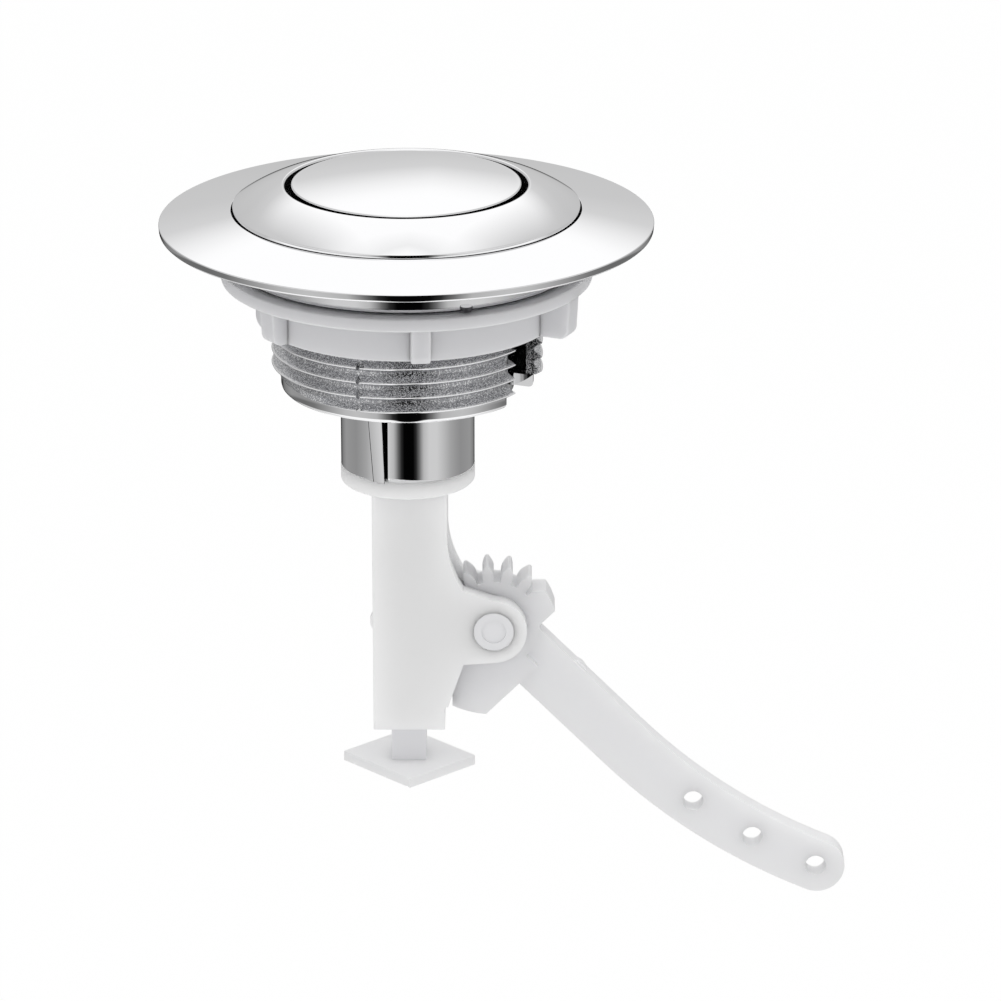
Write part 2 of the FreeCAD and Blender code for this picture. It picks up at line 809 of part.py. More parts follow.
def lever_arm():
    # Gear sector, stops and arm in one moulding, bored for the pin and for the chain
    sector = axle(root_r, -half_gear, half_gear, pivot_x, pivot_z)
    teeth = [gear_tooth(first_tooth + tooth_step * index) for index in range(teeth_before + 1)]
    lever = joined([sector, lever_arm_blank(), gate_mark()] + stop_blocks() + teeth)
    lever = lever.cut(axle(pin_r + pin_running, -gear_width, gear_width, pivot_x, pivot_z))
    for index in range(hole_count):
        hole_x, hole_z = on_arm(hole_station(index), 0)
        lever = lever.cut(axle(hole_r_chain, -arm_thickness, arm_thickness, hole_x, hole_z))
    return lever


def locknut():
    # A flanged nut with ribs for the hand, and the barrel's thread in its bore
    flange_low = nut_top - nut_flange
    bottom = nut_top - nut_height
    thread_low = -barrel_bottom + band_height
    rings = thread_steps(thread_clearance, thread_low, -collar_depth)
    bore_low = thread_low - thread_pitch
    inner_r = thread_root_r + thread_clearance
    bore = turned([(0, bore_low), (inner_r, bore_low)] + rings + [(inner_r, 0), (0, 0)])
    body = turned([(0, bottom), (nut_skirt_r, bottom), (nut_skirt_r, flange_low), (nut_flange_r, flange_low),
                   (nut_flange_r, nut_top), (0, nut_top)])
    inner = (thread_root_r + nut_skirt_r) / 2
    low = bottom + nut_rib_rise
    foot_r = nut_flange_r - nut_rib_taper
    corner = foot_r - nut_rib_round
    curve = nut_rib_round * quarter_share
    ribs = []
    for index in range(nut_ribs):
        rib = slab([(inner, low), (corner, low),
                    ((foot_r - curve, low + curve), (foot_r, low + nut_rib_round)),
                    (nut_flange_r, nut_top), (inner, nut_top)], -nut_rib_width / 2, nut_rib_width / 2)
        rib.rotate(Vector(0, 0, 0), Vector(0, 0, 1), nut_rib_turn + 360 / nut_ribs * index)
        ribs.append(rib)
    return joined([body] + ribs).cut(bore)


parts = {
    "flange_plate": rim_plate(),
    "bezel_ring": bezel(),
    "threaded_barrel": threaded_barrel(),
    "split_sleeve": split_sleeve(),
    "spring_seat": spring_seat(),
    "return_spring": return_spring(),
    "button_cap": button_cap(),
    "button_carrier": button_carrier(),
    "carrier_screw": carrier_screw(),
    "plunger_stem": plunger_stem(),
    "stem_pin": stem_pin(),
    "rack_bar": rack_bar(),
    "foot_plate": foot_plate(),
    "neck_collar": neck_collar(),
    "housing_front_shell": housing_shell(True),
    "housing_rear_shell": housing_shell(False),
    "pivot_pin": pivot_pin(),
    "pin_retainer": pin_retainer(),
    "lever_arm": lever_arm(),
    "locknut": locknut(),
}

os.makedirs("parts", exist_ok=True)
for name, shape in parts.items():
    shape.exportStep("parts/" + name + ".step")
    print(name, len(shape.Solids), shape.isValid(), round(shape.Volume, 1))
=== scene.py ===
import math
import bmesh
import bpy
from mathutils import Matrix, Vector


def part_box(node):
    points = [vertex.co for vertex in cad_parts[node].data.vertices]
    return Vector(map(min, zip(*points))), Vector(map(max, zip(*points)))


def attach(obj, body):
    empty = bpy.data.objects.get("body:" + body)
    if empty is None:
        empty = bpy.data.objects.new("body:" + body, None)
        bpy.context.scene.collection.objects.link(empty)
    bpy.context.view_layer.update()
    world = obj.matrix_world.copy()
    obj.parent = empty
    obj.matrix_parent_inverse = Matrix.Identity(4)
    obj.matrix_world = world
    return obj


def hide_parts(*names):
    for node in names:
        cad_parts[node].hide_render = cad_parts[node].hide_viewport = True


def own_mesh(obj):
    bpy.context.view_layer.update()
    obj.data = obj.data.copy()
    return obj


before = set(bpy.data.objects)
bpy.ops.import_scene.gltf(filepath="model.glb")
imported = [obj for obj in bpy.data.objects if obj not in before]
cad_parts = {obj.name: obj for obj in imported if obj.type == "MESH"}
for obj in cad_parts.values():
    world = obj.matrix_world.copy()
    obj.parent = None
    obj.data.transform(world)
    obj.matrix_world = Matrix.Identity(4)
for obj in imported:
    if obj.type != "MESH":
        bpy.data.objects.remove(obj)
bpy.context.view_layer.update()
scene = bpy.context.scene
mm = 0.001
upAxis = (0, 0, 1)
onePoint = 1e-7  # points nearer than this, in metres, are one point
onRing = 1e-6  # a point this near a ring, in metres, lies on it
skin = 0.05  # a face this near a wall, in millimetres, belongs to it
beyond = 1.0  # a cutter reaches this far past what it cuts, in millimetres
smoothBelow = 32.0  # faces that meet at less than this, in degrees, are shaded as one
print("frame loaded:", len(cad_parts), "nodes")


# Small helpers for sections, meshes and node trees

def at(radius, height):
    # A point of a section, in millimetres
    return Vector((radius * mm, 0, height * mm))


def arcAbout(start, through, end):
    # Centre and signed turn of the arc over three points of the section plane
    ax, az, bx, bz, cx, cz = start.x, start.z, through.x, through.z, end.x, end.z
    d = 2 * (ax * (bz - cz) + bx * (cz - az) + cx * (az - bz))
    a2, b2, c2 = ax * ax + az * az, bx * bx + bz * bz, cx * cx + cz * cz
    ux = (a2 * (bz - cz) + b2 * (cz - az) + c2 * (az - bz)) / d
    uz = (a2 * (cx - bx) + b2 * (ax - cx) + c2 * (bx - ax)) / d
    first = math.atan2(az - uz, ax - ux)
    turn = (math.atan2(cz - uz, cx - ux) - first) % math.tau
    middle = (math.atan2(bz - uz, bx - ux) - first) % math.tau
    if middle > turn:
        turn -= math.tau
    return Vector((ux, 0, uz)), turn


def drawSection(bm, start, steps, closed=True, arcSteps=12):
    # A pair runs straight to that point; four numbers bend through the first point to the second
    first = bmesh.ops.create_vert(bm, co=at(*start))["vert"][0]
    last = first
    for step in steps:
        if len(step) == 2:
            tip = bmesh.ops.extrude_vert_indiv(bm, verts=[last])["verts"][0]
            tip.co = at(*step)
        else:
            centre, turn = arcAbout(last.co, at(*step[:2]), at(*step[2:]))
            grown = bmesh.ops.spin(bm, geom=[last], cent=centre, axis=(0, -1, 0), angle=turn, steps=arcSteps)
            tip = [item for item in grown["geom_last"] if isinstance(item, bmesh.types.BMVert)][0]
        last = tip
    if closed:
        bm.edges.new((last, first))


def spinAll(bm, turn=360.0, steps=192, rise=0.0):
    # Turns everything drawn so far about the barrel axis, with an even rise for a thread or a coil
    whole = turn >= 360 and not rise
    if not whole:
        bmesh.ops.contextual_create(bm, geom=bm.edges[:])
    bmesh.ops.spin(bm, geom=bm.verts[:] + bm.edges[:] + bm.faces[:], axis=upAxis, angle=math.radians(turn),
                   steps=steps, dvec=(0, 0, rise * mm / steps), use_merge=whole)
    bmesh.ops.remove_doubles(bm, verts=bm.verts, dist=onePoint)
    bmesh.ops.recalc_face_normals(bm, faces=bm.faces)


def bevelEdges(bm, edges, width, segments=3):
    bmesh.ops.bevel(bm, geom=edges, offset=width * mm, offset_type="OFFSET", segments=segments, profile=0.5,
                    affect="EDGES", material=-1, clamp_overlap=True)


def sharpEdges(bm, limit=30.0):
    # Edges whose two faces meet at more than the limit
    return [edge for edge in bm.edges if len(edge.link_faces) == 2
            and edge.calc_face_angle(0) > math.radians(limit)]


def ringEdges(bm, radius, height):
    # The edges of the circle at one radius and height
    def isOn(vert):
        return abs(vert.co.xy.length - radius * mm) < onRing and abs(vert.co.z - height * mm) < onRing
    return [edge for edge in bm.edges if isOn(edge.verts[0]) and isOn(edge.verts[1])]


def roundRings(bm, rings):
    # Each ring is radius, height and the width of its round
    for radius, height, width in rings:
        bevelEdges(bm, ringEdges(bm, radius, height), width)


def turnBy(bm, angle, axis="Z"):
    bmesh.ops.rotate(bm, verts=bm.verts, cent=(0, 0, 0), matrix=Matrix.Rotation(math.radians(angle), 3, axis))


def meshFrom(bm, name):
    # Ends a bmesh as a mesh
    bmesh.ops.recalc_face_normals(bm, faces=bm.faces)
    mesh = bpy.data.meshes.new(name)
    bm.to_mesh(mesh)
    bm.free()
    mesh.shade_smooth()
    mesh.set_sharp_from_angle(angle=math.radians(smoothBelow))
    return mesh


def addMesh(bm, other, name):
    # Adds the faces of one finished bmesh to another
    mesh = meshFrom(other, name)
    bm.from_mesh(mesh)
    bpy.data.meshes.remove(mesh)


def placePiece(mesh, material, body, slot, *nodes):
    # Links a finished mesh as a piece of a body, in place of its CAD nodes
    piece = bpy.data.objects.new(mesh.name, mesh)
    scene.collection.objects.link(piece)
    shading = piece.modifiers.new("flatWalls", "WEIGHTED_NORMAL")  # keeps walls true beside their rounded edges
    shading.keep_sharp = True
    shading.weight = 90
    mesh.materials.append(material)
    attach(piece, body)
    if nodes:
        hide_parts(*nodes)
    return piece


def paintShadeOn(piece, shadeFinish, inGap):
    # Paints shade: gives the faces that inGap picks by radius and height a dark plating colour that stands in
    # for the shade of a narrow gap
    piece.data.materials.append(shadeFinish)
    for face in piece.data.polygons:
        if inGap(face.center.xy.length / mm, face.center.z / mm):
            face.material_index = len(piece.data.materials) - 1
    return piece


def cutFrom(bm, cutters, name):
    # Cuts closed meshes out of a closed mesh and gives the result back as a bmesh
    host = bpy.data.objects.new(name, meshFrom(bm, name))
    scene.collection.objects.link(host)
    tools = []
    for cutter in cutters:
        tool = bpy.data.objects.new("cutter", meshFrom(cutter, "cutter"))
        scene.collection.objects.link(tool)
        cut = host.modifiers.new("cut", "BOOLEAN")
        cut.operation = "DIFFERENCE"
        cut.solver = "EXACT"
        cut.object = tool
        tools.append(tool)
    shaped = bpy.data.meshes.new_from_object(host.evaluated_get(bpy.context.evaluated_depsgraph_get()))
    for item in tools + [host]:
        bpy.data.objects.remove(item)
    result = bmesh.new()
    result.from_mesh(shaped)
    bpy.data.meshes.remove(shaped)
    return result


def wedge(inner, outer, low, high, start, end):
    # A closed sector of a ring
    bm = bmesh.new()
    drawSection(bm, (inner, low), [(outer, low), (outer, high), (inner, high)])
    spinAll(bm, turn=end - start, steps=16)
    turnBy(bm, start)
    return bm


def slotTool(width, inner, outer, low, high, turn):
    # A closed box that stands across the wall at one turn
    bm = bmesh.new()
    bmesh.ops.create_cube(bm, size=1.0)
    bmesh.ops.scale(bm, vec=((outer - inner) * mm, width * mm, (high - low) * mm), verts=bm.verts)
    bmesh.ops.translate(bm, vec=at((outer + inner) / 2, (high + low) / 2), verts=bm.verts)
    turnBy(bm, turn)
    return bm


def postTool(radius, low, high, place=0.0, turn=0.0, segments=96):
    # A closed upright cylinder at one radius and turn
    bm = bmesh.new()
    bmesh.ops.create_cone(bm, cap_ends=True, segments=segments, radius1=radius * mm, radius2=radius * mm,
                          depth=(high - low) * mm)
    bmesh.ops.translate(bm, vec=at(place, (high + low) / 2), verts=bm.verts)
    turnBy(bm, turn)
    return bm


def fromHex(text):
    # An sRGB hex colour as the linear values that a shader reads
    parts = [int(text[i:i + 2], 16) / 255 for i in (1, 3, 5)]
    return [p / 12.92 if p <= 0.04045 else ((p + 0.055) / 1.055) ** 2.4 for p in parts] + [1.0]


def addNode(tree, kind, settings=None, links=None):
    # Adds a node; a setting names a socket or, if there is none of that name, a property
    node = tree.nodes.new(kind)
    for key, value in (settings or {}).items():
        if isinstance(key, int) or key in node.inputs:
            node.inputs[key].default_value = value
        else:
            setattr(node, key, value)
    for key, source in (links or {}).items():
        tree.links.new(source, node.inputs[key])
    return node


def startMaterial(name, shader):
    # A material with one Principled shader; returns it with its tree and the shader node
    material = bpy.data.materials.new(name)
    material.use_nodes = True
    tree = material.node_tree
    tree.nodes.clear()
    principled = addNode(tree, "ShaderNodeBsdfPrincipled", shader)
    output = addNode(tree, "ShaderNodeOutputMaterial")
    tree.links.new(principled.outputs[0], output.inputs["Surface"])
    return material, tree, principled


def addRelief(tree, shader, grain, strength, depth, detail=2.0):
    # Gives a finish its relief: lumps as wide as grain and as high as depth, in millimetres
    place = addNode(tree, "ShaderNodeTexCoord")
    lumps = addNode(tree, "ShaderNodeTexNoise", {"Scale": 1 / (grain * mm), "Detail": detail},
                    {"Vector": place.outputs["Object"]})
    relief = addNode(tree, "ShaderNodeBump", {"Strength": strength, "Distance": depth * mm},
                     {"Height": lumps.outputs[0]})
    tree.links.new(relief.outputs[0], shader.inputs["Normal"])


# Materials

chromeLook = {"colour": "#fefeff", "roughness": 0.03, "ripple": 9.0, "rippleDepth": 0.004}


def chromePlate(look):
    # Bright chrome plated on moulded ABS: a mirror with a very slow ripple from the moulding below
    material, tree, shader = startMaterial("chromePlatedAbs", {
        "Base Color": fromHex(look["colour"]), "Metallic": 1.0, "Roughness": look["roughness"]})
    addRelief(tree, shader, look["ripple"], strength=1.0, depth=look["rippleDepth"], detail=1.0)
    return material


# Painted shade: gapShade darkens faces in narrow gaps and seams; bore is a dimmer shade, painted low in the
# button's gap and on the nub
shadePlatingLook = {"gapShade": "#0d0d0e", "bore": "#5c5c5f", "roughness": 0.4, "grain": 0.3, "relief": 0.5, "depth": 0.01}


def paintedShadePlate(name, colour, look):
    # Painted shade: plating given a dark, dull colour for faces in narrow gaps, so seams read as dark lines of
    # shade
    material, tree, shader = startMaterial(name, {
        "Base Color": fromHex(colour), "Metallic": 1.0, "Roughness": look["roughness"]})
    addRelief(tree, shader, look["grain"], look["relief"], look["depth"])
    return material


# Real pits are about 0.1 mm wide, too fine to show, so the grain is drawn at twice that
# pitShade is a painted shade, the colour of the pits' low ground
threadLook = {"colour": "#fefeff", "pitShade": "#bbbcbf", "roughness": 0.03, "pitRoughness": 0.1,
              "grain": 0.22, "grainDepth": 0.034, "pitLevel": 0.5, "tipLevel": 0.59,
              "smoothFrom": 20.58, "pittedTo": 20.36, "bandEnd": -21.65, "pittedFrom": -21.55,
              "collarFoot": -4.3}


def chromeThread(look):
    # The same plating where the mould was spark eroded: fine pits between the thread's crests, glinting tips;
    # the pits' low ground is painted darker as shade
    material, tree, shader = startMaterial("chromePlatedThread", {"Metallic": 1.0})
    place = addNode(tree, "ShaderNodeTexCoord")
    split = addNode(tree, "ShaderNodeSeparateXYZ", links={0: place.outputs["Object"]})
    flatPlace = addNode(tree, "ShaderNodeCombineXYZ", links={0: split.outputs[0], 1: split.outputs[1]})
    radius = addNode(tree, "ShaderNodeVectorMath", {"operation": "LENGTH"}, {0: flatPlace.outputs[0]})

    # The pits lie below the crests, above the band and under the collar
    belowCrest = addNode(tree, "ShaderNodeMapRange", {
        "From Min": look["smoothFrom"] * mm, "From Max": look["pittedTo"] * mm},
        {"Value": radius.outputs["Value"]})
    overBand = addNode(tree, "ShaderNodeMapRange", {
        "From Min": look["bandEnd"] * mm, "From Max": look["pittedFrom"] * mm}, {"Value": split.outputs[2]})
    underCollar = addNode(tree, "ShaderNodeMath", {"operation": "LESS_THAN", 1: look["collarFoot"] * mm},
                          {0: split.outputs[2]})
    flank = addNode(tree, "ShaderNodeMath", {"operation": "MULTIPLY"},
                    {0: belowCrest.outputs[0], 1: overBand.outputs[0]})
    pitted = addNode(tree, "ShaderNodeMath", {"operation": "MULTIPLY"},
                     {0: flank.outputs[0], 1: underCollar.outputs[0]})
    rough = addNode(tree, "ShaderNodeMapRange", {"To Min": look["roughness"], "To Max": look["pitRoughness"]},
                    {"Value": pitted.outputs[0]})
    tree.links.new(rough.outputs[0], shader.inputs["Roughness"])

    speck = addNode(tree, "ShaderNodeTexNoise", {"Scale": 1 / (look["grain"] * mm), "Detail": 2.0},
                    {"Vector": place.outputs["Object"]})
    raised = addNode(tree, "ShaderNodeMapRange", {"From Min": look["pitLevel"], "From Max": look["tipLevel"]},
                     {"Value": speck.outputs[0]})
    relief = addNode(tree, "ShaderNodeBump", {"Distance": look["grainDepth"] * mm},
                     {"Height": raised.outputs[0], "Strength": pitted.outputs[0]})
    tree.links.new(relief.outputs[0], shader.inputs["Normal"])
    # Painted shade: where the grain is low, the colour darkens towards the pit colour
    pitShadeTone = addNode(tree, "ShaderNodeMix", {"data_type": "RGBA", 6: fromHex(look["pitShade"]),
                                           7: fromHex(look["colour"])}, {0: raised.outputs[0]})
    tone = addNode(tree, "ShaderNodeMix", {"data_type": "RGBA", 6: fromHex(look["colour"])},
                   {0: pitted.outputs[0], 7: pitShadeTone.outputs[2]})
    tree.links.new(tone.outputs[2], shader.inputs["Base Color"])
    return material


# glow is the share of light that sinks in and reach how far it goes, in millimetres; through passes the wall
plasticLooks = {
    "naturalAcetal": {"colour": "#fcfcfe", "roughness": 0.42, "glow": 1.0, "reach": 4.0, "through": 0.0},
    "smallAcetalPieces": {"colour": "#ececee", "roughness": 0.42, "glow": 0.15, "reach": 1.0, "through": 0.0},
    "naturalPolypropylene": {"colour": "#eeeef0", "roughness": 0.4, "glow": 1.0, "reach": 7.0, "through": 0.14},
    "nutPolypropylene": {"colour": "#dcdcde", "roughness": 0.4, "glow": 0.8, "reach": 2.5, "through": 0.0}}
mouldedSkin = {"grain": 0.35, "relief": 0.35, "depth": 0.01}


def whitePlastic(name, look):
    # Moulded white acetal or polypropylene: satin, with light that sinks in and softens the shading
    reach = look["reach"] * mm
    material, tree, shader = startMaterial(name, {
        "Base Color": fromHex(look["colour"]), "Roughness": look["roughness"], "IOR": 1.49,
        "Subsurface Weight": look["glow"], "Subsurface Radius": (reach, reach, reach),
        "Subsurface Scale": 1.0, "Transmission Weight": look["through"]})
    addRelief(tree, shader, mouldedSkin["grain"], mouldedSkin["relief"], mouldedSkin["depth"])
    return material


steelLook = {"colour": "#b4b5b6", "roughness": 0.28, "grain": 0.2, "relief": 0.4, "depth": 0.01}


def drawnSteel(look):
    # Drawn stainless wire and sheet: a grey metal with fine draw marks
    material, tree, shader = startMaterial("stainlessSteel", {
        "Base Color": fromHex(look["colour"]), "Metallic": 1.0, "Roughness": look["roughness"]})
    addRelief(tree, shader, look["grain"], look["relief"], look["depth"])
    return material


chrome = chromePlate(chromeLook)
threadChrome = chromeThread(threadLook)
# Painted shade: a dark plating for faces in narrow gaps, and a dimmer one low in the button's gap and on the
# nub
gapShadeChrome = paintedShadePlate("paintedGapShade", shadePlatingLook["gapShade"], shadePlatingLook)
boreAndNubShadeChrome = paintedShadePlate("paintedBoreAndNubShade", shadePlatingLook["bore"], shadePlatingLook)
plastics = {name: whitePlastic(name, look) for name, look in plasticLooks.items()}
steel = drawnSteel(steelLook)
print("materials made")


# Rim plate, bezel and button

rimSizes = {"radius": 37.5, "lip": 1.2, "step": 1.2, "setBack": 4.3, "foot": 2.2, "plateTop": 4.4,
            "seat": 26.55, "marginTop": 3.2, "margin": 24.6, "collarTop": 1.8, "hub": 27.85,
            "wall": 1.5, "draft": 0.1,
            "footRound": 0.16, "lipRound": 0.3, "edgeRound": 0.14, "seatRound": 0.1, "innerRound": 0.15,
            "hubRound": 0.2, "seatShade": 0.08, "steps": 256}


def makeRimPlate(s):
    # A shallow cone with a thin lip over a hidden foot; the hub rests on the barrel's collar
    top = s["step"] + s["lip"]
    slope = (s["plateTop"] - top) / (s["radius"] - s["seat"])
    lipLow = s["radius"] - s["draft"]
    foot = s["radius"] - s["setBack"]
    innerFoot = foot - s["foot"]

    def under(radius):
        return top + slope * (s["radius"] - radius) - s["wall"]

    bm = bmesh.new()
    drawSection(bm, (foot, 0), [
        (foot, s["step"]), (lipLow, s["step"]), (s["radius"], top), (s["seat"], s["plateTop"]),
        (s["seat"], s["marginTop"]), (s["margin"], s["marginTop"]), (s["margin"], s["collarTop"]),
        (s["hub"], s["collarTop"]), (s["hub"], under(s["hub"])), (innerFoot, under(innerFoot)), (innerFoot, 0)])
    spinAll(bm, steps=s["steps"])
    roundRings(bm, [(foot, 0, s["footRound"]), (lipLow, s["step"], s["lipRound"]),
                    (s["radius"], top, s["edgeRound"]), (s["seat"], s["plateTop"], s["seatRound"]),
                    (innerFoot, 0, s["innerRound"]),
                    (s["hub"], s["collarTop"], s["hubRound"])])
    rim = placePiece(meshFrom(bm, "rimPlate"), chrome, "mount", "chromed_abs", "flange_plate")
    # Painted shade: the seat wall below the plate's top takes the dark gap colour
    paintShadeOn(rim, gapShadeChrome, lambda radius, height: radius < s["seat"] + skin
           and height < s["plateTop"] - s["seatShade"])


bezelSizes = {"radius": 26.3, "lipLow": 3.2, "seam": 4.42, "plateTop": 4.4, "edgeTop": 4.95, "top": 8.2,
              "hole": 18.35, "crest": 0.4, "gapTop": 7.8, "bulge": 0.75, "webTop": -2.4, "skirt": 1.2,
              "hookOut": 24.4, "hookEnd": -0.3, "wall": 1.5, "edgeRound": 0.06, "steps": 256}


def makeBezel(s):
    # A domed ring whose outer skirt hooks in the collar and whose inner skirt guides the button
    middle = (s["radius"] + s["hole"]) / 2
    crown = (s["plateTop"] + s["top"]) / 2 + s["bulge"]
    bend = s["crest"] * (1 - math.sqrt(0.5))
    hookIn = s["hookOut"] - s["skirt"]
    skirtOut = s["hole"] + s["skirt"]
    bm = bmesh.new()
    drawSection(bm, (s["radius"], s["lipLow"]), [
        (s["radius"], s["seam"]), (s["radius"], s["edgeTop"]),
        (middle, crown, s["hole"] + s["crest"], s["top"]),
        (s["hole"] + bend, s["top"] - bend, s["hole"], s["top"] - s["crest"]),
        (s["hole"], s["webTop"]), (skirtOut, s["webTop"]), (skirtOut, s["top"] - 2 * s["wall"]),
        (middle, crown - s["wall"], hookIn, s["plateTop"]), (hookIn, s["hookEnd"]),
        (s["hookOut"], s["hookEnd"]), (s["hookOut"], s["lipLow"])], arcSteps=32)
    spinAll(bm, steps=s["steps"])
    roundRings(bm, [(s["radius"], s["edgeTop"], s["edgeRound"])])
    ring = placePiece(meshFrom(bm, "bezelRing"), chrome, "mount", "chromed_abs", "bezel_ring")
    # Painted shade: the outer wall below the seam takes the dark gap colour, and the inner wall low in the
    # button's gap takes a dimmer one
    paintShadeOn(ring, gapShadeChrome, lambda radius, height: radius > s["radius"] - skin and height < s["seam"])
    paintShadeOn(ring, boreAndNubShadeChrome, lambda radius, height: radius < s["hole"] + skin and height < s["gapTop"])


capSizes = {"radius": 17.41, "edge": 8.3, "dome": 0.8, "round": 0.25, "wall": 1.4, "skirt": 1.2, "bottom": 3.6,
            "skirtRound": 0.2, "steps": 256}


def makeButtonCap(s):
    # A domed cap with a short skirt
    edge = s["radius"] - s["round"]
    bore = s["radius"] - s["skirt"]
    under = s["edge"] - s["wall"]
    bend = s["round"] * (1 - math.sqrt(0.5))

    def dome(radius, reach):
        ball = (reach * reach + s["dome"] ** 2) / (2 * s["dome"])
        return math.sqrt(ball * ball - radius * radius) - ball + s["dome"]

    half = s["radius"] / 2
    bm = bmesh.new()
    drawSection(bm, (0, s["edge"] + s["dome"]), [
        (half, s["edge"] + dome(half, edge), edge, s["edge"]),
        (s["radius"] - bend, s["edge"] - bend, s["radius"], s["edge"] - s["round"]),
        (s["radius"], s["bottom"]), (bore, s["bottom"]), (bore, under),
        (half, under + dome(half, bore), 0, under + s["dome"])], closed=False, arcSteps=28)
    spinAll(bm, steps=s["steps"])
    roundRings(bm, [(s["radius"], s["bottom"], s["skirtRound"])])
    cap = placePiece(meshFrom(bm, "buttonCap"), chrome, "button", "chromed_abs", "button_cap")
    # Painted shade: the cap's wall below its round, inside the button's gap, takes the dark gap colour
    paintShadeOn(cap, gapShadeChrome, lambda radius, height: radius > s["radius"] - skin
           and height < s["edge"] - s["round"])


makeRimPlate(rimSizes)
makeBezel(bezelSizes)
makeButtonCap(capSizes)
print("rim, bezel and button made")


# Barrel with its helical thread

barrelSizes = {"bottom": -23.7, "band": 19.3, "bandTop": -21.6, "bandRound": 0.7, "root": 19.45,
               "rootSink": 0.4, "crest": 20.7, "pitch": 2.25,
               "crestFlat": 0.28, "crestRound": 0.13, "rootFlat": 0.55,
               "collar": 26.2, "collarLow": -4.1, "collarLean": 0.13, "leanTop": -3.35, "shadeTop": -3.96,
               "collarTop": 1.8, "collarWall": 1.7, "webTop": -2.4, "bore": 18.2, "floorTop": -21.8,
               "neck": 10.3, "edgeRound": 0.06,
               "windowTurn": -22.0, "windowWidth": 10.8, "windowHead": -6.2, "windowFloor": 16.3,
               "partingTurn": -110.0, "partingWidth": 0.65, "partingDepth": 1.05,
               "nub": 0.95, "nubHeight": 0.7, "nubTurn": -69.5, "nubRound": 0.12,
               "threadTurn": -150.0, "threadStart": -22.65, "runOut": 50.0, "firstTurn": 0.8,
               "steps": 192, "threadSteps": 160, "nubSteps": 32}


def threadRidge(s):
    # One ridge of the thread's section, carried round and up the barrel; it grows out of the band's top
    rise = (s["pitch"] - s["crestFlat"] - s["rootFlat"]) / 2
    inner = s["root"] - s["rootSink"]
    low = s["threadStart"]
    high = low + 2 * rise + s["crestFlat"]
    length = s["collarLow"] - high
    tip = s["crest"] - s["crestRound"]
    bm = bmesh.new()
    drawSection(bm, (inner, low), [
        (s["root"], low), (tip, low + rise),
        (s["crest"], low + rise + s["crestFlat"] / 2, tip, low + rise + s["crestFlat"]),
        (s["root"], high), (inner, high)], arcSteps=4)
    turns = length / s["pitch"]
    spinAll(bm, turn=360 * turns, steps=int(s["threadSteps"] * turns), rise=length)
    for vert in bm.verts:  # the first turn grows from nothing to its full height
        turn = math.degrees(math.atan2(vert.co.y, vert.co.x)) % 360
        turnsUp = (vert.co.z / mm - low) / s["pitch"] - turn / 360
        reach = vert.co.xy.length / mm - s["root"]
        if turn < s["runOut"] and turnsUp < s["firstTurn"] and reach > 0:
            grown = math.sin(turn / s["runOut"] * math.pi / 2)
            vert.co.xy *= (s["root"] + reach * grown) / (s["root"] + reach)
    turnBy(bm, s["threadTurn"])
    bmesh.ops.bisect_plane(bm, geom=bm.verts[:] + bm.edges[:] + bm.faces[:], plane_co=at(0, s["bandTop"]),
                           plane_no=upAxis, clear_inner=True)
    bmesh.ops.holes_fill(bm, edges=[edge for edge in bm.edges if edge.is_boundary])
    return bm


def windowTool(s):
    # The slot with parallel sides and a round floor
    low = s["bottom"] - 2 * beyond
    slot = slotTool(s["windowWidth"], 0, s["collar"] + beyond, low, s["windowHead"], s["windowTurn"])
    return cutFrom(slot, [postTool(s["windowFloor"], low - beyond, s["windowHead"] + beyond)], "windowTool")


def makeBarrel(s):
    # Collar, web, tube with the thread, floor and window
    body = bmesh.new()
    collarIn = s["collar"] - s["collarWall"]
    collarFoot = s["collar"] - s["collarLean"]
    shadeShare = (s["shadeTop"] - s["collarLow"]) / (s["leanTop"] - s["collarLow"])
    drawSection(body, (s["neck"], s["bottom"]), [
        (s["band"], s["bottom"]), (s["band"], s["bandTop"]), (s["root"], s["bandTop"]),
        (s["root"], s["collarLow"]),
        (collarFoot, s["collarLow"]), (collarFoot + s["collarLean"] * shadeShare, s["shadeTop"]),
        (s["collar"], s["leanTop"]), (s["collar"], s["collarTop"]), (collarIn, s["collarTop"]),
        (collarIn, s["webTop"]), (s["bore"], s["webTop"]), (s["bore"], s["floorTop"]),
        (s["neck"], s["floorTop"])])
    spinAll(body, steps=s["steps"])
    roundRings(body, [(s["band"], s["bottom"], s["bandRound"]), (s["band"], s["bandTop"], s["edgeRound"]),
                      (collarFoot, s["collarLow"], s["edgeRound"])])
    body = cutFrom(body, [windowTool(s)], "barrelBody")
    notch = slotTool(s["partingWidth"], s["crest"] - s["partingDepth"], s["collar"], s["bandTop"],
                     s["collarLow"], s["partingTurn"])
    addMesh(body, cutFrom(threadRidge(s), [windowTool(s), notch], "threadRidge"), "ridge")
    nub = postTool(s["nub"], s["collarLow"], s["collarLow"] + s["nubHeight"], s["collar"], s["nubTurn"],
                   s["nubSteps"])
    bevelEdges(nub, sharpEdges(nub), s["nubRound"])
    addMesh(body, nub, "nub")
    barrel = placePiece(meshFrom(body, "barrel"), threadChrome, "mount", "chromed_abs", "threaded_barrel")
    # Painted shade: the collar's strip above the nut takes the dark gap colour, and the nub a dimmer one
    paintShadeOn(barrel, gapShadeChrome, lambda radius, height: radius > s["crest"] + skin
           and s["collarLow"] - skin < height < s["shadeTop"])
    paintShadeOn(barrel, boreAndNubShadeChrome, lambda radius, height: radius > s["collar"] + skin)


makeBarrel(barrelSizes)
print("barrel made")


# Split sleeve under the barrel

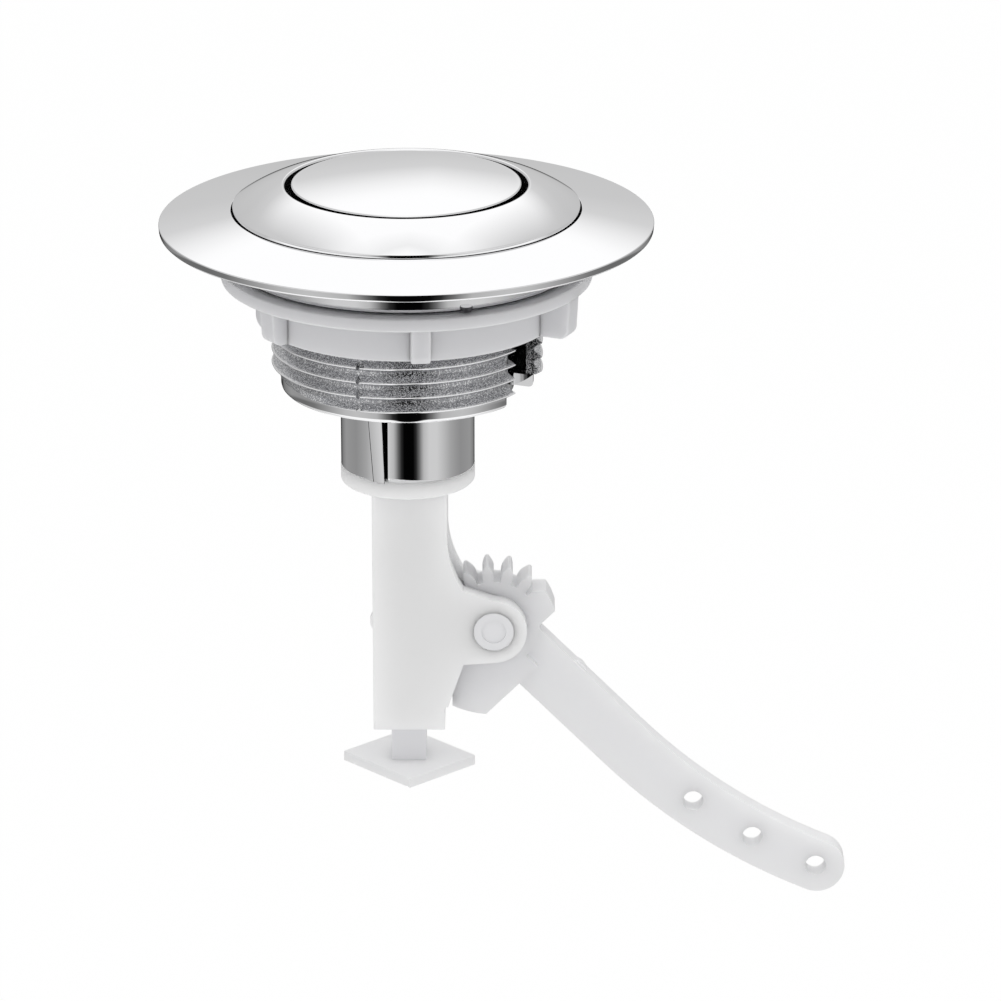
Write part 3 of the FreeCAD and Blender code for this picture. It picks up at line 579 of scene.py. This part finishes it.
sleeveSizes = {"radius": 10.25, "wall": 1.1, "bottom": -36.4, "top": -20.8, "flange": 14.0, "flangeLow": -21.8,
               "slitRight": -106.4, "slitLeftTop": -111.6, "slitLeftBottom": -109.3,
               "lapLeftTop": -125.3, "lapLeftBottom": -119.2, "lapTop": -23.75, "lapHeight": 0.2,
               "lapSink": 0.3, "lapDrop": 0.02, "chamfer": 0.3, "edge": 0.12,
               "liftedEdge": 0.55, "liftedTurn": 47.0,
               "liftedHeight": 1.0, "liftCurve": 1.75, "edgeRound": 0.05, "lapRound": 0.06,
               "leaf": 8.95, "leafWall": 0.25, "leafRise": 0.1, "leafShade": 0.02,
               "leafStart": -112.6, "leafEnd": -105.2, "steps": 240, "sharpOver": 40}


def slant(bm, s, edges):
    # Sets each vertex by its share of turn and height; edges are the turns of both sides, top and bottom
    for vert in bm.verts:
        across = math.degrees(math.atan2(vert.co.y, vert.co.x))  # the piece was drawn one degree wide
        up = (vert.co.z / mm - s["bottom"]) / (s["lapTop"] - s["bottom"])
        left = edges[0] * up + edges[1] * (1 - up)
        right = edges[2] * up + edges[3] * (1 - up)
        turn = math.radians(left + (right - left) * across)
        reach = vert.co.xy.length
        vert.co.x = reach * math.cos(turn)
        vert.co.y = reach * math.sin(turn)


def makeSleeve(s):
    # A flanged tube with a tapering slit, a lap beside it and a leaf behind it; past the slit its edge lifts
    inner = s["radius"] - s["wall"]
    tube = bmesh.new()
    drawSection(tube, (inner, s["bottom"]), [
        (s["radius"] - s["chamfer"], s["bottom"]), (s["radius"], s["bottom"] + s["edge"]),
        (s["radius"], s["flangeLow"]), (s["flange"], s["flangeLow"]), (s["flange"], s["top"]),
        (inner, s["top"])])
    spinAll(tube, turn=360 + s["slitLeftTop"] - s["slitRight"], steps=s["steps"])
    turnBy(tube, s["slitRight"])
    for vert in tube.verts:
        past = (math.degrees(math.atan2(vert.co.y, vert.co.x)) - s["slitRight"]) / s["liftedTurn"]
        if 0 <= past < 1 and s["bottom"] + s["edge"] / 2 < vert.co.z / mm < s["bottom"] + s["liftedHeight"]:
            vert.co.z += s["liftedEdge"] * (1 - past ** s["liftCurve"]) * mm
    bevelEdges(tube, sharpEdges(tube, s["sharpOver"]), s["edgeRound"], 2)
    lap = wedge(s["radius"] - s["lapSink"], s["radius"] + s["lapHeight"], s["bottom"] - s["lapDrop"],
                s["lapTop"], 0, 1)
    slant(lap, s, [s["lapLeftTop"], s["lapLeftBottom"], s["slitLeftTop"], s["slitLeftBottom"]])
    bevelEdges(lap, sharpEdges(lap), s["lapRound"], 2)
    addMesh(tube, lap, "lap")
    leaf = wedge(s["leaf"] - s["leafWall"], s["leaf"], s["bottom"] + s["leafRise"], s["lapTop"],
                 s["leafStart"], s["leafEnd"])
    addMesh(tube, leaf, "leaf")
    sleeve = placePiece(meshFrom(tube, "splitSleeve"), chrome, "mount", "chromed_abs", "split_sleeve")
    # Painted shade: the leaf behind the slit takes the dark gap colour
    paintShadeOn(sleeve, gapShadeChrome, lambda radius, height: radius < s["leaf"] + s["leafShade"])


makeSleeve(sleeveSizes)
print("sleeve made")


# Locknut

nutSizes = {"top": -4.4, "flange": 28.2, "flangeWall": 2.0, "skirt": 23.0, "height": 8.25, "bore": 20.85,
            "ribs": 6, "ribTurn": -84.3, "ribWidth": 2.9, "sideRibWidth": 3.6, "ribReach": 26.0,
            "wingReach": 28.1, "wing": 1, "ribRise": 0.05, "ribTaper": 0.6, "ribRound": 1.5, "round": 0.3,
            "steps": 160}


def makeRib(s, index):
    # A rib for the hand, its foot rounded; the front one is narrower, and one reaches out further as a wing
    low = s["top"] - s["height"] + s["ribRise"]
    high = s["top"] - s["flangeWall"] + s["round"]
    inner = (s["bore"] + s["skirt"]) / 2
    reach = s["wingReach"] if index == s["wing"] else s["ribReach"]
    width = s["sideRibWidth"] if index else s["ribWidth"]
    foot = reach - s["ribTaper"]
    bend = s["ribRound"] * (1 - math.sqrt(0.5))
    rib = bmesh.new()
    drawSection(rib, (inner, low), [
        (foot - s["ribRound"], low), (foot - bend, low + bend, foot, low + s["ribRound"]),
        (reach - s["round"], high), (inner, high)])
    side = bmesh.ops.contextual_create(rib, geom=rib.edges[:])["faces"]
    grown = bmesh.ops.extrude_face_region(rib, geom=side)["geom"]
    bmesh.ops.translate(rib, vec=(0, width * mm, 0),
                        verts=[item for item in grown if isinstance(item, bmesh.types.BMVert)])
    bmesh.ops.translate(rib, vec=(0, -width * mm / 2, 0), verts=rib.verts)
    bevelEdges(rib, sharpEdges(rib), s["round"])
    turnBy(rib, s["ribTurn"] + 360 / s["ribs"] * index)
    return rib


def makeLocknut(s):
    # A flanged nut with ribs
    low = s["top"] - s["height"]
    flangeLow = s["top"] - s["flangeWall"]
    bm = bmesh.new()
    drawSection(bm, (s["bore"], low), [(s["skirt"], low), (s["skirt"], flangeLow), (s["flange"], flangeLow),
                                       (s["flange"], s["top"]), (s["bore"], s["top"])])
    spinAll(bm, steps=s["steps"])
    roundRings(bm, [(s["flange"], flangeLow, s["round"]), (s["flange"], s["top"], s["round"]),
                    (s["skirt"], low, s["round"]), (s["skirt"], flangeLow, s["round"])])
    for index in range(s["ribs"]):
        addMesh(bm, makeRib(s, index), "rib")
    placePiece(meshFrom(bm, "locknut"), plastics["nutPolypropylene"], "nut", "nut_polypropylene", "locknut")


makeLocknut(nutSizes)
print("locknut made")


# White pieces below: their solids have the right shape, so rounded copies carry the finish

# For each CAD node: the piece, its finish, body and slot, and the width of its rounds in millimetres
roundedCopies = {
    "neck_collar": ("neckCollar", "naturalAcetal", "mount", "white_acetal", 0.15),
    "housing_front_shell": ("housingFront", "naturalAcetal", "mount", "white_acetal", 0.12),
    "housing_rear_shell": ("housingRear", "naturalAcetal", "mount", "white_acetal", 0.12),
    "pivot_pin": ("pivotPin", "smallAcetalPieces", "mount", "white_acetal", 0.2),
    "lever_arm": ("lever", "naturalPolypropylene", "lever", "natural_polypropylene", 0.08),
    "rack_bar": ("rackBar", "smallAcetalPieces", "button", "natural_polypropylene", 0.12),
    "foot_plate": ("footPlate", "naturalPolypropylene", "button", "natural_polypropylene", 0.15)}
copySettings = {"merge": 0.001, "flatBelow": 0.6, "sharpOver": 25.0}
keywaySizes = {"width": 1.6, "floor": 7.0, "reach": 9.6, "low": -36.38, "high": -25.0, "turn": -108.8}
pinRingSizes = {"inner": 1.9, "outer": 3.13, "head": 0.9, "behindFace": 0.08, "steps": 64}


def copyOfNode(node, width, s):
    # A merged copy of a CAD node with its flat faces made whole and its edges rounded
    bm = bmesh.new()
    bm.from_mesh(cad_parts[node].data)
    bmesh.ops.remove_doubles(bm, verts=bm.verts, dist=s["merge"] * mm)
    bmesh.ops.dissolve_limit(bm, angle_limit=math.radians(s["flatBelow"]), verts=bm.verts, edges=bm.edges)
    bevelEdges(bm, sharpEdges(bm, s["sharpOver"]), width)
    return bm


def keywayTool(s):
    # The keyway of the neck collar, which shows in the sleeve's slit
    return slotTool(s["width"], s["floor"], s["reach"], s["low"], s["high"], s["turn"])


def makePinRing(s):
    # The washer under the pin's head, just behind the face of the ear
    low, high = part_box("pivot_pin")
    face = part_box("housing_front_shell")[0][1] / mm + s["behindFace"]
    seat = low[1] / mm + s["head"]
    ring = bmesh.new()
    drawSection(ring, (s["inner"], -seat), [(s["outer"], -seat), (s["outer"], -face), (s["inner"], -face)])
    spinAll(ring, steps=s["steps"])
    turnBy(ring, 90, "X")
    bmesh.ops.translate(ring, vec=((low[0] + high[0]) / 2, 0, (low[2] + high[2]) / 2), verts=ring.verts)
    return ring


for node, (name, finish, body, slot, width) in roundedCopies.items():
    bm = copyOfNode(node, width, copySettings)
    if node == "neck_collar":
        bm = cutFrom(bm, [keywayTool(keywaySizes)], name)
    if node == "pivot_pin":
        addMesh(bm, makePinRing(pinRingSizes), "pinRing")
    placePiece(meshFrom(bm, name), plastics[finish], body, slot, node)
print("white pieces made")


# Return spring and the other inner pieces

springSizes = {"radius": 11.5, "wire": 1.2, "turns": 7, "travel": 7.5, "turnSteps": 48}


def makeSpring(s):
    # Round wire wound between seat and carrier
    low, high = [corner[2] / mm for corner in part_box("return_spring")]
    half = s["wire"] / 2
    inner, outer, level = s["radius"] - half, s["radius"] + half, low + half
    bm = bmesh.new()
    drawSection(bm, (inner, level), [
        (s["radius"], low, outer, level), (s["radius"], level + half, inner, level)], closed=False, arcSteps=8)
    bmesh.ops.remove_doubles(bm, verts=bm.verts, dist=onePoint)
    spinAll(bm, turn=360 * s["turns"], steps=s["turnSteps"] * s["turns"], rise=high - low - s["wire"])
    spring = placePiece(meshFrom(bm, "returnSpring"), steel, "mount", "stainless_steel", "return_spring")
    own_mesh(spring)


innerFinishes = {"button_carrier": plastics["naturalAcetal"], "plunger_stem": plastics["naturalAcetal"],
                 "spring_seat": plastics["naturalAcetal"], "carrier_screw": steel, "stem_pin": steel,
                 "pin_retainer": steel}

makeSpring(springSizes)
for node, material in innerFinishes.items():
    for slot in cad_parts[node].material_slots:
        slot.material = material
print("inner pieces made")


# Studio: even white light for the plastics, and a pale room with dark gaps that the mirror finish meets

# darkCentre is the turn of the dark gap from the front, in degrees
roomSizes = {"darkCentre": 2.4, "turnShare": 0.7, "glow": 0.96, "fill": 0.82}

# Grey levels of the room, each set by degrees of one angle, with the range of that angle
roomTones = {
    # walls of the mirror finish meet these, a little below the horizon
    "walls": ("fromFront", 0, 180, {
        0: 3, 8: 4, 13: 40, 18: 100, 26: 182, 36: 203, 50: 203, 66: 181, 78: 161, 90: 149, 102: 140, 135: 148,
        155: 120, 168: 10, 180: 3}),
    # walls that lean inwards towards their foot look lower and meet these
    "leaning": ("fromFront", 0, 180, {
        0: 4, 10: 8, 15: 40, 21: 108, 30: 177, 41: 187, 50: 190, 60: 183, 71: 166, 83: 143, 97: 114, 111: 104,
        135: 107, 155: 100, 168: 10, 180: 3}),
    # upper faces meet these, by their lift less a share of the turn
    "over": ("leaned", -90, 90, {
        -90: 250, -37: 250, -33: 200, -10: 190, 0: 198, 6: 200, 9: 205, 12: 210, 15: 229, 17: 240, 20: 252,
        22: 255, 58: 254, 66: 247, 74: 239, 82: 253, 90: 250}),
    # and these at the sides
    "beside": ("lift", -90, 90, {-90: 250, -30: 190, 20: 192, 40: 202, 60: 200, 70: 215, 90: 250})}

# Where one set of tones gives way to another: an angle, and the degrees from which and by which it does
roomFades = {"leaning": ("lift", -20.6, -21.4), "beside": ("aside", 10, 29),
             "glowLow": ("lift", 16, 8), "glowAhead": ("fromFront", 105, 85),
             "darkLow": ("lift", 14, 4), "darkAhead": ("fromFront", 20, 12),
             "bandLow": ("lift", -36, -32), "bandHigh": ("lift", -4, -10)}
roomMasks = {"glow": ("glowLow", "glowAhead"), "dark": ("darkLow", "darkAhead"),
             "band": ("bandLow", "bandHigh")}


def roomAngles(tree, s):
    # A direction's turn from the front, its turn aside, its lift, and the lift less a share of the turn aside
    place = addNode(tree, "ShaderNodeTexCoord")
    split = addNode(tree, "ShaderNodeSeparateXYZ", links={0: place.outputs["Generated"]})
    ahead = addNode(tree, "ShaderNodeMath", {"operation": "MULTIPLY", 1: -1.0}, {0: split.outputs[1]})
    turned = addNode(tree, "ShaderNodeMath", {"operation": "ARCTAN2"},
                     {0: split.outputs[0], 1: ahead.outputs[0]})
    centred = addNode(tree, "ShaderNodeMath", {"operation": "SUBTRACT", 1: math.radians(s["darkCentre"])},
                      {0: turned.outputs[0]})
    fromFront = addNode(tree, "ShaderNodeMath", {"operation": "ABSOLUTE"}, {0: centred.outputs[0]})
    sideways = addNode(tree, "ShaderNodeMath", {"operation": "ABSOLUTE"}, {0: split.outputs[0]})
    aside = addNode(tree, "ShaderNodeMath", {"operation": "ARCSINE"}, {0: sideways.outputs[0]})
    lift = addNode(tree, "ShaderNodeMath", {"operation": "ARCSINE"}, {0: split.outputs[2]})
    lean = addNode(tree, "ShaderNodeMath", {"operation": "MULTIPLY", 1: s["turnShare"]}, {0: aside.outputs[0]})
    leaned = addNode(tree, "ShaderNodeMath", {"operation": "SUBTRACT"},
                     {0: lift.outputs[0], 1: lean.outputs[0]})
    return {"fromFront": fromFront.outputs[0], "aside": aside.outputs[0], "lift": lift.outputs[0],
            "leaned": leaned.outputs[0]}


def paintRoom(tree, s):
    # The tones that the mirror finish meets, by direction
    angles = roomAngles(tree, s)
    tones, fades = {}, {}
    for name, (angle, low, high, levels) in roomTones.items():
        share = addNode(tree, "ShaderNodeMapRange", {
            "From Min": math.radians(low), "From Max": math.radians(high)}, {"Value": angles[angle]})
        ramp = addNode(tree, "ShaderNodeValToRGB", links={0: share.outputs[0]})
        while len(ramp.color_ramp.elements) < len(levels):
            ramp.color_ramp.elements.new(0.5)
        for element, (degrees, level) in zip(ramp.color_ramp.elements, sorted(levels.items())):
            element.position = (degrees - low) / (high - low)
            element.color = fromHex("#" + "%02x" % level * 3)
        tones[name] = ramp.outputs[0]
    for name, (angle, start, end) in roomFades.items():
        fade = addNode(tree, "ShaderNodeMapRange", {
            "From Min": math.radians(start), "From Max": math.radians(end)}, {"Value": angles[angle]})
        fades[name] = fade.outputs[0]
    for name, (first, second) in roomMasks.items():
        mask = addNode(tree, "ShaderNodeMath", {"operation": "MULTIPLY"}, {0: fades[first], 1: fades[second]})
        fades[name] = mask.outputs[0]
    walls = addNode(tree, "ShaderNodeMix", {"data_type": "RGBA"},
                    {0: fades["leaning"], 6: tones["walls"], 7: tones["leaning"]})
    upper = addNode(tree, "ShaderNodeMix", {"data_type": "RGBA"},
                    {0: fades["beside"], 6: tones["over"], 7: tones["beside"]})
    lit = addNode(tree, "ShaderNodeMix", {"data_type": "RGBA", 7: [s["glow"]] * 3 + [1.0]},
                  {0: fades["glow"], 6: upper.outputs[2]})
    darkened = addNode(tree, "ShaderNodeMix", {"data_type": "RGBA"},
                       {0: fades["dark"], 6: lit.outputs[2], 7: walls.outputs[2]})
    room = addNode(tree, "ShaderNodeMix", {"data_type": "RGBA"},
                   {0: fades["band"], 6: darkened.outputs[2], 7: walls.outputs[2]})
    return room.outputs[2]


def makeWorld(s):
    # Mirror finishes meet the room, other surfaces an even fill, and the camera sees plain white
    world = bpy.data.worlds.new("studio")
    scene.world = world
    world.use_nodes = True
    tree = world.node_tree
    tree.nodes.clear()
    rays = addNode(tree, "ShaderNodeLightPath")
    fill = addNode(tree, "ShaderNodeMix", {"data_type": "RGBA", 6: [s["fill"]] * 3 + [1.0]},
                   {0: rays.outputs["Is Glossy Ray"], 7: paintRoom(tree, s)})
    seen = addNode(tree, "ShaderNodeMix", {"data_type": "RGBA", 7: (1, 1, 1, 1)},
                   {0: rays.outputs["Is Camera Ray"], 6: fill.outputs[2]})
    backdrop = addNode(tree, "ShaderNodeBackground", links={"Color": seen.outputs[2]})
    output = addNode(tree, "ShaderNodeOutputWorld")
    tree.links.new(backdrop.outputs[0], output.inputs["Surface"])


floorSizes = {"height": -0.30, "reach": 12.0, "paint": 0.9, "whiteShare": 0.985}


def makeFloor(s):
    # A plain white floor well below the part, which hangs in its lid; it keeps the part's soft shadow
    bm = bmesh.new()
    bmesh.ops.create_grid(bm, x_segments=1, y_segments=1, size=s["reach"])
    bmesh.ops.translate(bm, vec=(0, 0, s["height"]), verts=bm.verts)
    floor = bpy.data.objects.new("floor", meshFrom(bm, "floor"))
    scene.collection.objects.link(floor)
    material = bpy.data.materials.new("paleFloor")
    material.use_nodes = True
    tree = material.node_tree
    tree.nodes.clear()
    paint = addNode(tree, "ShaderNodeBsdfDiffuse", {"Color": [s["paint"]] * 3 + [1.0]})
    shine = addNode(tree, "ShaderNodeEmission", {"Color": (1, 1, 1, 1), "Strength": 1.0})
    rays = addNode(tree, "ShaderNodeLightPath")
    share = addNode(tree, "ShaderNodeMath", {"operation": "MULTIPLY", 1: s["whiteShare"]},
                    {0: rays.outputs["Is Camera Ray"]})
    mixed = addNode(tree, "ShaderNodeMixShader", links={0: share.outputs[0], 1: paint.outputs[0],
                                                        2: shine.outputs[0]})
    output = addNode(tree, "ShaderNodeOutputMaterial")
    tree.links.new(mixed.outputs[0], output.inputs["Surface"])
    floor.data.materials.append(material)
    floor.visible_glossy = False


lampSizes = {"place": (0.05, -0.15, 0.7), "tilt": -12, "size": 0.8, "power": 3.0}


def makeLamp(s):
    # One large soft lamp overhead
    lamp = bpy.data.lights.new("softbox", "AREA")
    lamp.shape = "DISK"
    lamp.size = s["size"]
    lamp.energy = s["power"]
    holder = bpy.data.objects.new("softbox", lamp)
    holder.location = s["place"]
    holder.rotation_euler = (math.radians(s["tilt"]), 0, 0)
    holder.visible_glossy = False
    holder.visible_camera = False
    scene.collection.objects.link(holder)


cameraFit = {"target": (14.23, 0, -42.8), "distance": 832.1, "elevation": 19.932, "lens": 194.09}


def makeCamera(s):
    # The photograph's view: from the front, looking down about twenty degrees, through a long lens
    tilt = math.radians(s["elevation"])
    lens = bpy.data.cameras.new("camera")
    lens.lens = s["lens"]
    lens.sensor_width = 36.0
    lens.clip_start = 0.01
    lens.clip_end = 50.0
    camera = bpy.data.objects.new("camera", lens)
    back = Vector((0, -math.cos(tilt), math.sin(tilt)))
    camera.location = Vector(s["target"]) * mm + back * s["distance"] * mm
    camera.rotation_euler = (math.pi / 2 - tilt, 0, 0)
    scene.collection.objects.link(camera)
    scene.camera = camera


makeWorld(roomSizes)
makeFloor(floorSizes)
makeLamp(lampSizes)
makeCamera(cameraFit)
scene.view_settings.view_transform = "Standard"
print("studio made")
